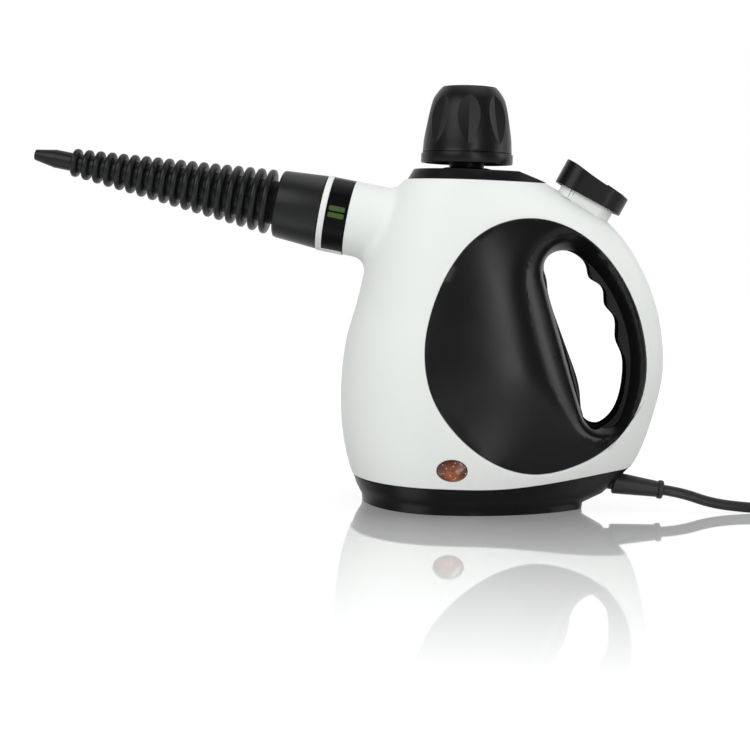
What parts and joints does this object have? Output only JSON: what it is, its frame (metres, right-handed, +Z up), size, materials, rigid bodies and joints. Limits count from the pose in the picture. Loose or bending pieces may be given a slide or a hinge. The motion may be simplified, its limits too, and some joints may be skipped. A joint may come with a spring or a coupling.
{
  "type": "handheld steam cleaner",
  "caption": "Handheld steam cleaner with a safety screw cap over its boiler, a rocking steam button, a looped grip, a twist-off ribbed nozzle and a mains cord.",
  "frame": {"origin": "on the floor under the boiler's and cap's axis, in the middle of the base's flat underside", "axes": "+Z up, the nozzle points along -X and the grip and the cord are at +X, the left side with the indicator lens faces -Y"},
  "size_m": [0.5304, 0.139, 0.2254],
  "materials": {
    "white_plastic": "glossy white moulded plastic",
    "black_plastic": "satin-gloss black moulded plastic",
    "base_plastic": "satin black moulded plastic",
    "nozzle_rubber": "matt black flexible moulding",
    "cord_rubber": "matt black sheath",
    "seal_rubber": "red-brown silicone rubber",
    "amber_lens": "clear amber plastic, faceted",
    "neon_glass": "small neon lamp",
    "boiler_aluminium": "cast, bare",
    "steel": "zinc-plated",
    "brass": "turned, bare",
    "contact_metal": "nickel-plated",
    "ceramic": "off-white glazed block"
  },
  "bodies": {
    "cleaner": {"side_panel_left": "black_plastic", "side_panel_right": "black_plastic", "housing_left": "white_plastic", "housing_right": "white_plastic", "housing_screws": "steel", "base_tray": "base_plastic", "base_screws": "steel", "top_plate": "black_plastic", "filler_neck": "brass", "neck_nut": "brass", "boiler_lower": "boiler_aluminium", "boiler_upper": "boiler_aluminium", "boiler_gasket": "seal_rubber", "boiler_screws": "steel", "heating_element": "steel", "thermostat": "steel", "thermal_fuse": "steel", "button_collar": "white_plastic", "button_pin": "steel", "valve_body": "brass", "valve_spring": "steel", "inlet_tube": "brass", "outlet_tube": "brass", "spigot": "brass", "spigot_oring": "seal_rubber", "collar_band": "black_plastic", "collar_ring": "white_plastic", "indicator_lens": "amber_lens", "indicator_lamp": "neon_glass", "strain_relief": "cord_rubber", "inner_lead": "cord_rubber", "cord_clamp": "base_plastic", "terminal_block": "ceramic", "cord": "cord_rubber", "cord_coil": "cord_rubber", "plug_body": "black_plastic", "plug_blades": "contact_metal"},
    "cap_carrier": {"cap_seal": "seal_rubber"},
    "cap_core": {"cap_core": "black_plastic", "cap_spring": "steel"},
    "cap_shell": {"cap_shell": "black_plastic"},
    "steam_button": {"steam_button": "black_plastic"},
    "lock_slider": {"lock_slider": "black_plastic"},
    "valve_stem": {"valve_stem": "brass"},
    "nozzle": {"nozzle_connector": "black_plastic", "ribbed_nozzle": "nozzle_rubber"}
  },
  "joints": [
    {"name": "cap_rise", "type": "slide", "parent": "cleaner", "child": "cap_carrier", "axis": [0, 0, 1], "range_m": [0, 0.006]},
    {"name": "cap_turn", "type": "hinge", "parent": "cap_carrier", "child": "cap_core", "pos_m": [0, 0, 0.182], "axis": [0, 0, 1], "range_deg": [0, 720]},
    {"name": "cap_press", "type": "slide", "parent": "cap_core", "child": "cap_shell", "axis": [0, 0, -1], "range_m": [0, 0.0018], "stiffness_N_per_m": 600, "springref_m": -0.0015, "deforming": ["cap_spring"]},
    {"name": "button_rock", "type": "hinge", "parent": "cleaner", "child": "steam_button", "pos_m": [0.0585, 0, 0.17471], "axis": [0, 1, 0], "range_deg": [0, 6], "stiffness_Nm_per_rad": 0.05, "springref_deg": -3.44},
    {"name": "lock_slide", "type": "slide", "parent": "steam_button", "child": "lock_slider", "axis": [-0.8434, 0, 0.5373], "range_m": [0, 0.004]},
    {"name": "valve_press", "type": "slide", "parent": "cleaner", "child": "valve_stem", "axis": [0, 0, -1], "range_m": [0, 0.00096], "deforming": ["valve_spring"]},
    {"name": "nozzle_twist", "type": "hinge", "parent": "cleaner", "child": "nozzle", "pos_m": [-0.0758, 0, 0.156], "axis": [-0.9864, 0, 0.1642], "range_deg": [0, 45]}
  ],
  "couplings": [
    {"joint": "cap_turn", "follows": "cap_rise", "rad_per_m": 2094.4},
    {"joint": "button_rock", "follows": "valve_press", "rad_per_m": 108.7}
  ]
}
